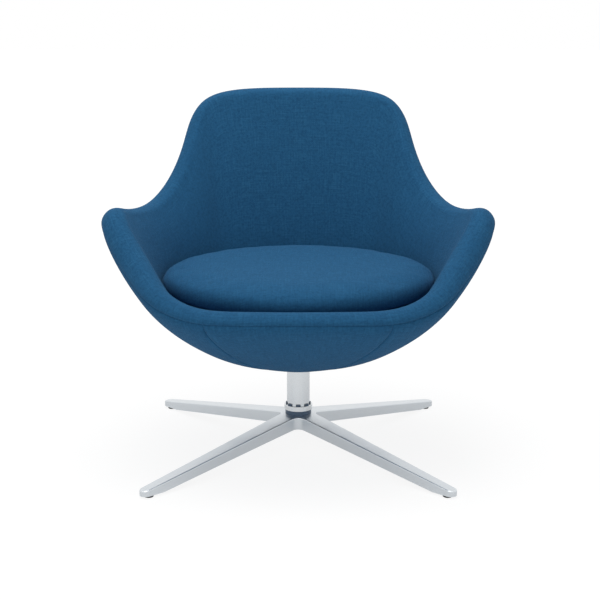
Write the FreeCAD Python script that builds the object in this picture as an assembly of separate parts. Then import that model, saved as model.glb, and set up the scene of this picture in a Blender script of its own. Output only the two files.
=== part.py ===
import FreeCAD, Part
import math
import os
from FreeCAD import Vector

# Swivel lounge chair: an upholstered bucket shell with a loose seat cushion, carried by a turning
# spindle inside a column on a four-star cast base. Millimetres, +Z up. The origin lies on the floor
# under the swivel axis and the chair faces -Y.

# Star base and glides
GLIDE_CIRCLE_RADIUS = 430.0
GLIDE_DIAMETER = 20.0
GLIDE_HEIGHT = 5.0
GLIDE_EDGE = 1.0
STUD_DIAMETER = 8.0
STUD_LENGTH = 9.0
LEG_COUNT = 4
LEG_FIRST_ANGLE = 45.0
LEG_HUB_WIDTH = 47.0
LEG_TIP_WIDTH = 25.0
LEG_TIP_HEIGHT = 18.7
LEG_OVERHANG = 8.0
LEG_PAD_LENGTH = 30.0
LEG_CROTCH_RADIUS = 18.0
LEG_EDGE_RADIUS = 2.5
LEG_WALL = 4.5
LEG_CHANNEL_START = 62.0
HUB_TOP = 84.0
HUB_UNDERSIDE = 56.5
HUB_TOP_RADIUS = 36.0
HUB_UNDERSIDE_RADIUS = 40.0

# Column, collar and swivel bearing
TUBE_DIAMETER = 50.0
TUBE_WALL = 3.0
TUBE_LENGTH = 120.0
COLLAR_WIDTH = 5.75
COLLAR_HEIGHT = 11.3
COLLAR_EDGE = 0.8
COLLAR_LIP_HEIGHT = 2.5
COLLAR_NOTCH_COUNT = 8
COLLAR_NOTCH_ANGLE = 26.0
INSERT_WALL = 2.4
INSERT_FLANGE_WIDTH = 3.5
INSERT_FLANGE_HEIGHT = 10.5
FINGER_RISE = 3.2
FINGER_ANGLE = 22.0
PLUG_HEIGHT = 16.0
HUB_BOLT_DIAMETER = 12.0
HUB_BOLT_LENGTH = 29.0
HUB_BOLT_HEAD_DIAMETER = 18.0
HUB_BOLT_HEAD_HEIGHT = 8.0
HUB_WASHER_DIAMETER = 22.0
HUB_WASHER_THICKNESS = 1.6
COUNTERBORE_DEPTH = 10.0
RACE_CLEARANCE = 2.0
RACE_THICKNESS = 2.0
BALL_DIAMETER = 5.0
BALL_COUNT = 12
BALL_CIRCLE_DIAMETER = 28.0
CAGE_THICKNESS = 2.0
CAGE_RIM = 1.4
JOURNAL_DIAMETER = 16.0
JOURNAL_PILOT = 4.0
SPINDLE_DIAMETER = 28.0
BUSH_LENGTH = 32.0
BUSH_FLANGE_THICKNESS = 2.0
CLIP_THICKNESS = 1.6
CLIP_DIAMETER = 36.0
CLIP_GROOVE_DEPTH = 1.5
CLIP_OPENING_ANGLE = 70.0
CLIP_PLAY = 0.4

# Seat fixing under the shell
TAPER_LENGTH = 38.0
TAPER_SMALL_DIAMETER = 26.0
SWIVEL_PLAY = 1.0
SOCKET_DIAMETER = 44.0
SEAT_PLATE_DIAMETER = 172.0
SEAT_PLATE_THICKNESS = 5.0
BOLT_SPACING = 100.0
BOLT_DIAMETER = 8.0
BOLT_HEAD_DIAMETER = 14.0
BOLT_HEAD_HEIGHT = 4.0
HEX_SOCKET_SHARE = 0.36
HEX_SOCKET_DEPTH = 2.4
BOLT_WASHER_DIAMETER = 16.0
BOLT_WASHER_THICKNESS = 1.2
TEE_NUT_FLANGE_DIAMETER = 22.0
TEE_NUT_FLANGE_THICKNESS = 1.5
TEE_NUT_BARREL_DIAMETER = 10.0
BOARD_DIAMETER = 164.0
BOARD_THICKNESS = 12.0
DISH_DIAMETER = 176.0
DISH_THICKNESS = 2.0
DISH_BOSS_COUNT = 3
DISH_BOSS_DIAMETER = 9.0
DISH_BOSS_CIRCLE_DIAMETER = 110.0
DISH_SCREW_DIAMETER = 3.5
DISH_SCREW_LENGTH = 9.0
DISH_SCREW_HEAD_DIAMETER = 7.0
DISH_SCREW_HEAD_HEIGHT = 1.4

# Clearances
FIT = 0.05
HOLE_CLEARANCE = 0.5
LAYER_GAP = 0.9
REST_GAP = 0.3
BALL_PLAY = 0.02

# Upholstered shell
FLOOR_HEIGHT = 201.0
FLOOR_RADIUS = 90.0
DECK_RISE = 161.0
DECK_HALF_WIDTH = 293.0
DECK_FRONT = 290.0
DECK_REAR = 222.0
DECK_CENTRE = -46.0
DECK_SQUARENESS = 2.3
DECK_FLAT_STEP = 25.0
FABRIC = 1.6
OUTER_PAD = 9.0
SHELL_WALL = 4.5
FRONT_PANEL_HALF_ANGLE = 31.5
SEAM_ROW = 4.3
SHELL_TOP_ROW = 3.7
SEAM_ROW_GAP = 0.04
SEAM_COLUMN_GAP = 0.03

# Centre line of the roll round the rim, one half from the front to the back: x, y, height over the deck
RIM_STATIONS = [
    (0, -321, 1), (110, -312, 0), (205, -288, -4), (282, -243, 23), (311, -195, 56),
    (342, -145, 90), (377, -100, 138), (391, -68, 170), (377, -20, 154), (354, 50, 142),
    (325, 120, 142), (294, 185, 165), (263, 232, 212), (240, 267, 273), (228, 298, 330),
    (205, 315, 364), (160, 322, 377), (86, 325, 382), (0, 326, 382),
]
# Section values of the shell as (front, side, back)
ROLL_RADIUS = (25.0, 26.0, 23.0)
SHOULDER_SWELL = 5.0
ROLL_LEAN = (2.5, 22.0, 14.0)
OUTER_LEAN = (0.0, 0.0, 14.0)
INNER_LEAN = (5.0, 46.0, 14.0)
FLOOR_REACH = (155.0, 231.0, 270.0)
FLOOR_RISE = (6.0, 0.0, 0.0)
OUTER_HANDLE = (30.0, 48.0, 300.0)
INNER_HANDLE = (1.0, 45.0, 150.0)
DECK_CORNER_RISE = (1.0, 15.0, 80.0)
OUTER_STEPS = (0.0, 0.22, 0.45, 0.68, 0.88)
INNER_STEPS = (0.2, 0.5, 0.8)
ROLL_SIDE = 0.6
ROLL_CREST = 1.25
MITRE_LIMIT = 0.5

# Seat cushion
CUSHION_HALF_WIDTH = 291.0
CUSHION_FRONT = 287.0
CUSHION_REAR = 213.0
CUSHION_SIDE_RADIUS = 190.0
CUSHION_THICKNESS = 67.0
STRIP_LENGTH = 300.0
STRIP_WIDTH = 40.0
STRIP_SPACING = 220.0
STRIP_THICKNESS = 1.6
# Cushion outline at rising heights: share of the thickness, inset from the widest outline
CUSHION_LEVELS = [
    (0.0, 20.0), (0.08, 11.0), (0.2, 3.5), (0.36, 0.0), (0.52, 1.5), (0.66, 6.0),
    (0.78, 14.0), (0.87, 26.0), (0.93, 44.0), (0.97, 70.0), (0.99, 100.0), (1.0, 140.0),
]

# Parameters of the shell surface: columns at the back and the front, row at the middle of the deck
BACK_COLUMN = len(RIM_STATIONS) - 1
FRONT_COLUMN = 2 * BACK_COLUMN
DECK_ROW = len(OUTER_STEPS) + len(INNER_STEPS) + 5

# Radii and heights that follow from the sizes above
LEG_END_RADIUS = GLIDE_CIRCLE_RADIUS + LEG_OVERHANG
LEG_PAD_START = GLIDE_CIRCLE_RADIUS - LEG_PAD_LENGTH
COLLAR_BOTTOM = HUB_TOP + INSERT_FLANGE_HEIGHT
TUBE_TOP = HUB_TOP + TUBE_LENGTH
TUBE_INSIDE_RADIUS = TUBE_DIAMETER / 2 - TUBE_WALL
RACE_RADIUS = TUBE_INSIDE_RADIUS - RACE_CLEARANCE
COLLAR_RADIUS = TUBE_DIAMETER / 2 + COLLAR_WIDTH
COLLAR_TOP = COLLAR_BOTTOM + COLLAR_HEIGHT
PLUG_TOP = HUB_TOP + PLUG_HEIGHT
BALL_HEIGHT = PLUG_TOP + RACE_THICKNESS + BALL_PLAY + BALL_DIAMETER / 2
UPPER_RACE_BOTTOM = BALL_HEIGHT + BALL_DIAMETER / 2 + BALL_PLAY
SHOULDER = UPPER_RACE_BOTTOM + RACE_THICKNESS
UPPER_BUSH_BOTTOM = TUBE_TOP - BUSH_LENGTH
BUSH_TOP = TUBE_TOP + BUSH_FLANGE_THICKNESS
PAD_DEPTH = FABRIC + LAYER_GAP
WALL_DEPTH = PAD_DEPTH + OUTER_PAD + LAYER_GAP
FOAM_DEPTH = WALL_DEPTH + SHELL_WALL + LAYER_GAP
WALL_FLOOR = FLOOR_HEIGHT + WALL_DEPTH
BOARD_BOTTOM = WALL_FLOOR + SHELL_WALL
BOARD_TOP = BOARD_BOTTOM + BOARD_THICKNESS
PLATE_BOTTOM = WALL_FLOOR - SEAT_PLATE_THICKNESS
TAPER_BOTTOM = BUSH_TOP + SWIVEL_PLAY
TAPER_TOP = TAPER_BOTTOM + TAPER_LENGTH
DISH_TOP = PLATE_BOTTOM - BOLT_WASHER_THICKNESS - BOLT_HEAD_HEIGHT - REST_GAP
DECK_HEIGHT = FLOOR_HEIGHT + DECK_RISE
CUSHION_BOTTOM = DECK_HEIGHT + 2 * STRIP_THICKNESS + REST_GAP


def cylinder(radius, bottom, top, x=0.0, y=0.0):
    """Upright cylinder between two heights."""
    return Part.makeCylinder(radius, top - bottom, Vector(x, y, bottom))


def ring(outer, inner, bottom, top, x=0.0, y=0.0):
    """Upright ring between two radii and two heights."""
    return cylinder(outer, bottom, top, x, y).cut(cylinder(inner, bottom, top, x, y))


def turned(points):
    """Solid of revolution about the swivel axis from (radius, height) corners."""
    corners = [Vector(radius, 0, height) for radius, height in points]
    face = Part.Face(Part.makePolygon(corners + corners[:1]))
    return face.revolve(Vector(0, 0, 0), Vector(0, 0, 1), 360)


def polar(radius, degrees):
    """Point in plan at a radius and an angle from +X."""
    angle = math.radians(degrees)
    return radius * math.cos(angle), radius * math.sin(angle)


def leg_angles():
    return [LEG_FIRST_ANGLE + index * 360.0 / LEG_COUNT for index in range(LEG_COUNT)]


def hex_socket(across, bottom, depth, x, y):
    """Hexagonal key hole, to be cut from a bolt head."""
    corners = [Vector(*polar(across / 2, 60 * k), 0) + Vector(x, y, bottom) for k in range(6)]
    return Part.Face(Part.makePolygon(corners + corners[:1])).extrude(Vector(0, 0, depth))


def leg_top(radius):
    """Height of the legs' sloping top at a radius."""
    slope = (HUB_TOP - LEG_TIP_HEIGHT) / (LEG_END_RADIUS - HUB_TOP_RADIUS)
    return HUB_TOP - slope * (radius - HUB_TOP_RADIUS)


def leg_half_width(radius):
    """Half the width of a leg in plan at a radius."""
    return (LEG_HUB_WIDTH + (LEG_TIP_WIDTH - LEG_HUB_WIDTH) * radius / LEG_END_RADIUS) / 2


def leg_profile(drop):
    """Leg section in (radius, height): flat hub, sloping top lowered by drop, rising underside and pad."""
    tip = LEG_END_RADIUS + LEG_TIP_WIDTH
    return [
        (0, HUB_UNDERSIDE), (HUB_UNDERSIDE_RADIUS, HUB_UNDERSIDE), (LEG_PAD_START, GLIDE_HEIGHT),
        (tip, GLIDE_HEIGHT), (tip, leg_top(tip) - drop),
        (HUB_TOP_RADIUS, HUB_TOP - drop), (0, HUB_TOP - drop),
    ]


def leg_plan():
    """Plan of the star: tapered legs with round ends, joined by concave arcs at the hub."""
    half_step = math.radians(180.0 / LEG_COUNT)
    taper = math.atan((leg_half_width(0.0) - leg_half_width(LEG_END_RADIUS)) / LEG_END_RADIUS)
    flank = Vector(math.sin(taper), math.cos(taper), 0)
    crotch_reach = (LEG_CROTCH_RADIUS + leg_half_width(0.0) * flank.y) / math.sin(half_step + taper)
    bisector = Vector(math.cos(half_step), math.sin(half_step), 0)
    crotch = bisector * (crotch_reach - LEG_CROTCH_RADIUS)
    tip_radius = leg_half_width(LEG_END_RADIUS) * flank.y
    end = Vector(LEG_END_RADIUS, 0, 0)
    left = [bisector * crotch_reach - flank * LEG_CROTCH_RADIUS, end + flank * tip_radius]
    right = [Vector(point.x, -point.y, 0) for point in left]
    tip = end + Vector(tip_radius, 0, 0)
    edges = []
    for angle in leg_angles():
        turn = FreeCAD.Rotation(Vector(0, 0, 1), angle)
        following = FreeCAD.Rotation(Vector(0, 0, 1), angle + 360.0 / LEG_COUNT)
        left_start, left_end = [turn.multVec(point) for point in left]
        right_start, right_end = [turn.multVec(point) for point in right]
        edges.append(Part.LineSegment(right_start, right_end).toShape())
        edges.append(Part.Arc(right_end, turn.multVec(tip), left_end).toShape())
        edges.append(Part.LineSegment(left_end, left_start).toShape())
        edges.append(Part.Arc(left_start, turn.multVec(crotch), following.multVec(right[0])).toShape())
    return Part.Face(Part.Wire(edges))


def leg_channels():
    """Hollow underside of the legs, open downwards, with a wall left on the other sides."""
    near = leg_half_width(LEG_CHANNEL_START) - LEG_WALL
    far = leg_half_width(LEG_PAD_START) - LEG_WALL
    corners = [
        Vector(LEG_CHANNEL_START, -near, 0), Vector(LEG_PAD_START, -far, 0),
        Vector(LEG_PAD_START, far, 0), Vector(LEG_CHANNEL_START, near, 0),
    ]
    slot = Part.Face(Part.makePolygon(corners + corners[:1])).extrude(Vector(0, 0, HUB_TOP))
    upper_side = leg_profile(LEG_WALL)[3:]
    slot = slot.common(turned(upper_side + [(0, 0), (upper_side[0][0], 0)]))
    channels = []
    for angle in leg_angles():
        channel = slot.copy()
        channel.rotate(Vector(0, 0, 0), Vector(0, 0, 1), angle)
        channels.append(channel)
    return channels


def on_leg_top(edge):
    """True for an edge of the star's outline along the top of the legs."""
    middle = edge.valueAt((edge.FirstParameter + edge.LastParameter) / 2)
    radius = math.hypot(middle.x, middle.y)
    return radius > HUB_TOP_RADIUS + FIT and abs(middle.z - leg_top(radius)) < FIT


def star_base():
    """Cast star: the plan limited by the leg section turned round the axis, its top edges softened."""
    star = leg_plan().extrude(Vector(0, 0, HUB_TOP)).common(turned(leg_profile(0.0)))
    star = star.makeFillet(LEG_EDGE_RADIUS, [edge for edge in star.Edges if on_leg_top(edge)])
    star = star.cut(leg_channels())
    star = star.cut(cylinder(HUB_BOLT_DIAMETER / 2 + HOLE_CLEARANCE, HUB_UNDERSIDE, HUB_TOP))
    counterbore = HUB_WASHER_DIAMETER / 2 + HOLE_CLEARANCE
    star = star.cut(cylinder(counterbore, HUB_UNDERSIDE, HUB_UNDERSIDE + COUNTERBORE_DEPTH))
    studs = []
    for angle in leg_angles():
        x, y = polar(GLIDE_CIRCLE_RADIUS, angle)
        top = GLIDE_HEIGHT + STUD_LENGTH + HOLE_CLEARANCE
        studs.append(cylinder(STUD_DIAMETER / 2 + FIT, GLIDE_HEIGHT, top, x, y))
    return star.cut(studs)


def glide(angle):
    """Round foot with a softened lower edge and a blind hole for its stud."""
    x, y = polar(GLIDE_CIRCLE_RADIUS, angle)
    disc = cylinder(GLIDE_DIAMETER / 2, 0, GLIDE_HEIGHT, x, y)
    foot = [edge for edge in disc.Edges if edge.BoundBox.ZMax < GLIDE_EDGE]
    disc = disc.makeChamfer(GLIDE_EDGE, foot)
    return disc.cut(cylinder(STUD_DIAMETER / 2 + FIT, GLIDE_HEIGHT / 2, GLIDE_HEIGHT, x, y))


def glide_studs():
    """Threaded studs that hold the glides in the leg ends."""
    studs = []
    for angle in leg_angles():
        x, y = polar(GLIDE_CIRCLE_RADIUS, angle)
        studs.append(cylinder(STUD_DIAMETER / 2, GLIDE_HEIGHT / 2 + FIT, GLIDE_HEIGHT + STUD_LENGTH, x, y))
    return Part.makeCompound(studs)


def column_tube():
    return ring(TUBE_DIAMETER / 2, TUBE_INSIDE_RADIUS, HUB_TOP, TUBE_TOP)


def notch_wedges(radius, bottom, top, angle):
    """Wedges about the axis, one at each notch of the collar."""
    wedges = []
    for index in range(COLLAR_NOTCH_COUNT):
        wedge = Part.makeCylinder(radius, top - bottom, Vector(0, 0, bottom), Vector(0, 0, 1), angle)
        turn = index * 360.0 / COLLAR_NOTCH_COUNT - angle / 2
        wedge.rotate(Vector(0, 0, 0), Vector(0, 0, 1), turn)
        wedges.append(wedge)
    return wedges


def collar_insert():
    """Dark bush between tube and collar: a flange that the collar stands on, fingers through its notches."""
    bore = TUBE_DIAMETER / 2 + FIT
    outside = bore + INSERT_WALL
    sleeve_top = COLLAR_TOP - COLLAR_LIP_HEIGHT - FIT
    finger_top = COLLAR_TOP + FINGER_RISE
    insert = cylinder(TUBE_DIAMETER / 2 + INSERT_FLANGE_WIDTH, HUB_TOP, COLLAR_BOTTOM)
    insert = insert.fuse(cylinder(outside, HUB_TOP, sleeve_top))
    insert = insert.fuse(notch_wedges(outside, sleeve_top, finger_top, FINGER_ANGLE))
    return insert.cut(cylinder(bore, HUB_TOP, finger_top)).removeSplitter()


def base_collar():
    """Bright trim ring round the foot of the tube, its top lip notched round the bore."""
    bore = TUBE_DIAMETER / 2 + 2 * FIT + INSERT_WALL
    lip_bottom = COLLAR_TOP - COLLAR_LIP_HEIGHT
    outside = cylinder(COLLAR_RADIUS, COLLAR_BOTTOM, COLLAR_TOP)
    upper = [edge for edge in outside.Edges if edge.BoundBox.ZMin > COLLAR_TOP - FIT]
    collar = outside.makeChamfer(COLLAR_EDGE, upper)
    collar = collar.cut(cylinder(bore, COLLAR_BOTTOM, lip_bottom))
    collar = collar.cut(cylinder(TUBE_DIAMETER / 2 + FIT, COLLAR_BOTTOM, COLLAR_TOP))
    return collar.cut(notch_wedges(bore, lip_bottom, COLLAR_TOP, COLLAR_NOTCH_ANGLE))


def foot_plug():
    """Steel plug in the foot of the tube: threaded for the hub bolt, piloted above for the spindle."""
    plug = cylinder(TUBE_INSIDE_RADIUS - FIT, HUB_TOP, PLUG_TOP)
    plug = plug.cut(cylinder(HUB_BOLT_DIAMETER / 2 + FIT, HUB_TOP, PLUG_TOP - JOURNAL_PILOT))
    return plug.cut(cylinder(JOURNAL_DIAMETER / 2 + FIT, PLUG_TOP - JOURNAL_PILOT, PLUG_TOP))


def hub_washer():
    bottom = HUB_UNDERSIDE + COUNTERBORE_DEPTH - HUB_WASHER_THICKNESS
    inner = HUB_BOLT_DIAMETER / 2 + HOLE_CLEARANCE
    return ring(HUB_WASHER_DIAMETER / 2, inner, bottom, bottom + HUB_WASHER_THICKNESS)


def hub_bolt():
    """Socket head bolt that draws the column down on to the hub from below."""
    seat = HUB_UNDERSIDE + COUNTERBORE_DEPTH - HUB_WASHER_THICKNESS
    bottom = seat - HUB_BOLT_HEAD_HEIGHT
    bolt = cylinder(HUB_BOLT_HEAD_DIAMETER / 2, bottom, seat)
    bolt = bolt.fuse(cylinder(HUB_BOLT_DIAMETER / 2, bottom, seat + HUB_BOLT_LENGTH)).removeSplitter()
    across = 2 * HUB_BOLT_HEAD_DIAMETER * HEX_SOCKET_SHARE
    return bolt.cut(hex_socket(across, bottom, HEX_SOCKET_DEPTH * 2, 0, 0))


def lower_race():
    bore = JOURNAL_DIAMETER / 2 + HOLE_CLEARANCE
    return ring(RACE_RADIUS, bore, PLUG_TOP, PLUG_TOP + RACE_THICKNESS)


def upper_race():
    return ring(RACE_RADIUS, JOURNAL_DIAMETER / 2 + FIT, UPPER_RACE_BOTTOM, SHOULDER)


def ball_places():
    step = 360.0 / BALL_COUNT
    return [polar(BALL_CIRCLE_DIAMETER / 2, index * step) for index in range(BALL_COUNT)]


def thrust_balls():
    balls = [Part.makeSphere(BALL_DIAMETER / 2, Vector(x, y, BALL_HEIGHT)) for x, y in ball_places()]
    return Part.makeCompound(balls)


def ball_cage():
    """Flat ring that spaces the balls, one hole each."""
    half = BALL_DIAMETER / 2 + FIT + CAGE_RIM
    middle = BALL_CIRCLE_DIAMETER / 2
    bottom = BALL_HEIGHT - CAGE_THICKNESS / 2
    top = BALL_HEIGHT + CAGE_THICKNESS / 2
    holes = [cylinder(BALL_DIAMETER / 2 + FIT, bottom, top, x, y) for x, y in ball_places()]
    return ring(middle + half, middle - half, bottom, top).cut(holes)


def lower_bush():
    bottom = SHOULDER + RACE_THICKNESS
    return ring(TUBE_INSIDE_RADIUS - FIT, SPINDLE_DIAMETER / 2 + FIT, bottom, bottom + BUSH_LENGTH)


def upper_bush():
    """Guide bush in the head of the tube, with a flange on the tube's end."""
    bore = SPINDLE_DIAMETER / 2 + FIT
    bush = ring(TUBE_INSIDE_RADIUS - FIT, bore, UPPER_BUSH_BOTTOM, BUSH_TOP)
    return bush.fuse(ring(TUBE_DIAMETER / 2, bore, TUBE_TOP, BUSH_TOP)).removeSplitter()


def clip_top():
    return UPPER_BUSH_BOTTOM - CLIP_PLAY - HUB_WASHER_THICKNESS


def spindle():
    """Turning post: journal, shoulder, plain shaft with a clip groove and a taper for the seat socket."""
    groove = SPINDLE_DIAMETER / 2 - CLIP_GROOVE_DEPTH
    groove_bottom = clip_top() - CLIP_THICKNESS - FIT
    return turned([
        (0, PLUG_TOP - JOURNAL_PILOT + HOLE_CLEARANCE),
        (JOURNAL_DIAMETER / 2, PLUG_TOP - JOURNAL_PILOT + HOLE_CLEARANCE),
        (JOURNAL_DIAMETER / 2, SHOULDER), (SPINDLE_DIAMETER / 2, SHOULDER),
        (SPINDLE_DIAMETER / 2, groove_bottom), (groove, groove_bottom), (groove, clip_top() + FIT),
        (SPINDLE_DIAMETER / 2, clip_top() + FIT), (SPINDLE_DIAMETER / 2, TAPER_BOTTOM),
        (TAPER_SMALL_DIAMETER / 2, TAPER_TOP), (0, TAPER_TOP),
    ])


def retaining_washer():
    top = clip_top() + HUB_WASHER_THICKNESS
    return ring(CLIP_DIAMETER / 2, SPINDLE_DIAMETER / 2 + FIT, clip_top() + FIT, top)


def retaining_clip():
    """Open spring ring in the spindle's groove."""
    inner = SPINDLE_DIAMETER / 2 - CLIP_GROOVE_DEPTH + FIT
    bottom = clip_top() - CLIP_THICKNESS
    clip = ring(CLIP_DIAMETER / 2, inner, bottom, clip_top())
    gap = Part.makeCylinder(
        CLIP_DIAMETER, CLIP_THICKNESS, Vector(0, 0, bottom), Vector(0, 0, 1), CLIP_OPENING_ANGLE)
    return clip.cut(gap)


def taper_socket():
    """Socket for the spindle's taper, standing through the seat plate."""
    return turned([
        (SPINDLE_DIAMETER / 2 + FIT, TAPER_BOTTOM), (SOCKET_DIAMETER / 2, TAPER_BOTTOM),
        (SOCKET_DIAMETER / 2, TAPER_TOP), (TAPER_SMALL_DIAMETER / 2 + FIT, TAPER_TOP),
    ])


def bolt_places():
    half = BOLT_SPACING / 2
    return [(x, y) for x in (-half, half) for y in (-half, half)]


def boss_places():
    step = 360.0 / DISH_BOSS_COUNT
    return [polar(DISH_BOSS_CIRCLE_DIAMETER / 2, 90 + index * step) for index in range(DISH_BOSS_COUNT)]


def bolt_holes(radius, bottom, top):
    return [cylinder(radius, bottom, top, x, y) for x, y in bolt_places()]


def seat_plate():
    """Round steel plate under the shell, bored for the socket, the bolts and the dish screws."""
    plate = ring(SEAT_PLATE_DIAMETER / 2, SOCKET_DIAMETER / 2 + FIT, PLATE_BOTTOM, WALL_FLOOR)
    plate = plate.cut(bolt_holes(BOLT_DIAMETER / 2 + HOLE_CLEARANCE, PLATE_BOTTOM, WALL_FLOOR))
    radius = DISH_SCREW_DIAMETER / 2 + FIT
    return plate.cut([cylinder(radius, PLATE_BOTTOM, WALL_FLOOR, x, y) for x, y in boss_places()])


def plate_washers():
    inner = BOLT_DIAMETER / 2 + HOLE_CLEARANCE
    bottom = PLATE_BOTTOM - BOLT_WASHER_THICKNESS
    places = bolt_places()
    return Part.makeCompound(
        [ring(BOLT_WASHER_DIAMETER / 2, inner, bottom, PLATE_BOTTOM, x, y) for x, y in places])


def plate_bolts():
    """Button head bolts up through the plate and the shell floor into the tee nuts."""
    seat = PLATE_BOTTOM - BOLT_WASHER_THICKNESS
    bottom = seat - BOLT_HEAD_HEIGHT
    across = 2 * BOLT_HEAD_DIAMETER * HEX_SOCKET_SHARE
    bolts = []
    for x, y in bolt_places():
        head = cylinder(BOLT_HEAD_DIAMETER / 2, bottom, seat, x, y)
        lower = [edge for edge in head.Edges if edge.BoundBox.ZMax < bottom + FIT]
        head = head.makeFillet(BOLT_HEAD_HEIGHT / 2, lower)
        bolt = head.fuse(cylinder(BOLT_DIAMETER / 2, bottom + HEX_SOCKET_DEPTH, BOARD_TOP, x, y))
        bolts.append(bolt.cut(hex_socket(across, bottom, HEX_SOCKET_DEPTH, x, y)))
    return Part.makeCompound(bolts)


def tee_nuts():
    """Flanged nuts let into the board from above."""
    nuts = []
    top = BOARD_TOP + TEE_NUT_FLANGE_THICKNESS
    for x, y in bolt_places():
        nut = cylinder(TEE_NUT_BARREL_DIAMETER / 2, BOARD_BOTTOM + FIT, BOARD_TOP, x, y)
        nut = nut.fuse(cylinder(TEE_NUT_FLANGE_DIAMETER / 2, BOARD_TOP, top, x, y)).removeSplitter()
        nuts.append(nut.cut(cylinder(BOLT_DIAMETER / 2 + FIT, BOARD_BOTTOM, top, x, y)))
    return Part.makeCompound(nuts)


def mount_board():
    """Plywood disc inside the shell that spreads the load of the bolts."""
    bore = SOCKET_DIAMETER / 2 + HOLE_CLEARANCE
    board = ring(BOARD_DIAMETER / 2, bore, BOARD_BOTTOM, BOARD_TOP)
    return board.cut(bolt_holes(TEE_NUT_BARREL_DIAMETER / 2 + FIT, BOARD_BOTTOM, BOARD_TOP))


def cover_dish():
    """Thin dish that closes the underside round the column, with bosses up to the seat plate."""
    bottom = DISH_TOP - DISH_THICKNESS
    dish = cylinder(DISH_DIAMETER / 2, bottom, DISH_TOP)
    for x, y in boss_places():
        dish = dish.fuse(cylinder(DISH_BOSS_DIAMETER / 2, bottom, PLATE_BOTTOM, x, y))
    dish = dish.removeSplitter()
    hole = TUBE_DIAMETER / 2 + 2 * HOLE_CLEARANCE
    dish = dish.cut(cylinder(hole, bottom, DISH_TOP))
    radius = DISH_SCREW_DIAMETER / 2 + FIT
    for x, y in boss_places():
        dish = dish.cut(cylinder(radius, bottom, PLATE_BOTTOM, x, y))
        head = DISH_SCREW_HEAD_DIAMETER / 2 + FIT
        dish = dish.cut(cylinder(head, bottom, bottom + DISH_SCREW_HEAD_HEIGHT, x, y))
    return dish


def dish_screws():
    bottom = DISH_TOP - DISH_THICKNESS
    screws = []
    for x, y in boss_places():
        head_top = bottom + DISH_SCREW_HEAD_HEIGHT
        screw = cylinder(DISH_SCREW_HEAD_DIAMETER / 2, bottom, head_top, x, y)
        shank = cylinder(DISH_SCREW_DIAMETER / 2, bottom, head_top + DISH_SCREW_LENGTH, x, y)
        screws.append(screw.fuse(shank).removeSplitter())
    return Part.makeCompound(screws)


def blend(values, azimuth):
    """Value at an azimuth from the front, eased from the front or back value to the side value."""
    front, side, back = values
    share = math.cos(azimuth) ** 2
    end = front if math.cos(azimuth) > 0 else back
    return end * share + side * (1 - share)


def roll_radius(azimuth):
    """Radius of the rim's roll, fuller on the shoulders between the front corners and the arms."""
    turn = min(max(abs(azimuth), math.pi / 4), math.pi / 2)
    return blend(ROLL_RADIUS, azimuth) + SHOULDER_SWELL * math.sin(4 * turn) ** 2


def deck_point(azimuth, inset):
    """Point of the oval seat deck, drawn in by an inset."""
    across = math.sin(azimuth)
    ahead = math.cos(azimuth)
    depth = DECK_FRONT + DECK_CENTRE if ahead > 0 else DECK_REAR - DECK_CENTRE
    power = DECK_SQUARENESS
    sum_of_powers = abs(across / DECK_HALF_WIDTH) ** power + abs(ahead / depth) ** power
    radius = sum_of_powers ** (-1 / power) - inset
    return Vector(radius * across, DECK_CENTRE - radius * ahead, DECK_HEIGHT)


def bezier(corners, t):
    """Point of a cubic curve at t."""
    s = 1 - t
    weights = (s ** 3, 3 * s * s * t, 3 * s * t * t, t ** 3)
    point = Vector(0, 0, 0)
    for corner, weight in zip(corners, weights):
        point += corner * weight
    return point


def downwards(lean, outward):
    """Unit direction down a wall that leans back by an angle in degrees."""
    angle = math.radians(lean)
    return Vector(0, 0, -math.cos(angle)) - outward * math.sin(angle)


def shell_column(before, centre, after):
    """Poles of one upright section: floor, outer wall, roll, inner wall, deck."""
    azimuth = math.atan2(centre.x, -centre.y)
    outward = Vector(math.sin(azimuth), -math.cos(azimuth), 0)
    along = (after - before).normalize()
    down_outside = downwards(blend(OUTER_LEAN, azimuth), outward)
    down_inside = downwards(blend(INNER_LEAN, azimuth), outward)
    side = along.cross(-downwards(blend(ROLL_LEAN, azimuth), outward)).normalize()
    crest = side.cross(along).normalize()
    radius = roll_radius(azimuth)
    outer_end = centre + side * radius
    inner_end = centre - side * radius
    floor = outward * FLOOR_RADIUS + Vector(0, 0, FLOOR_HEIGHT)
    bilge = outward * blend(FLOOR_REACH, azimuth) + Vector(0, 0, FLOOR_HEIGHT + blend(FLOOR_RISE, azimuth))
    outer = (floor, bilge, outer_end + down_outside * blend(OUTER_HANDLE, azimuth), outer_end)
    corner = deck_point(azimuth, 0.0)
    rise = corner + Vector(0, 0, blend(DECK_CORNER_RISE, azimuth))
    inner = (inner_end, inner_end + down_inside * blend(INNER_HANDLE, azimuth), rise, corner)
    column = [bezier(outer, t) for t in OUTER_STEPS]
    column += [outer_end, outer_end + crest * (ROLL_SIDE * radius), centre + crest * (ROLL_CREST * radius)]
    column += [inner_end + crest * (ROLL_SIDE * radius), inner_end]
    column += [bezier(inner, t) for t in INNER_STEPS]
    column += [corner, deck_point(azimuth, DECK_FLAT_STEP), deck_point(azimuth, 2 * DECK_FLAT_STEP)]
    return column


def shell_columns():
    """Sections all round, from the front over the +X side to the back and home."""
    half = [Vector(x, y, DECK_HEIGHT + rise) for x, y, rise in RIM_STATIONS]
    rim = half + [Vector(-p.x, p.y, p.z) for p in reversed(half[1:-1])]
    count = len(rim)
    return [shell_column(rim[i - 1], rim[i], rim[(i + 1) % count]) for i in range(count)]


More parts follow.
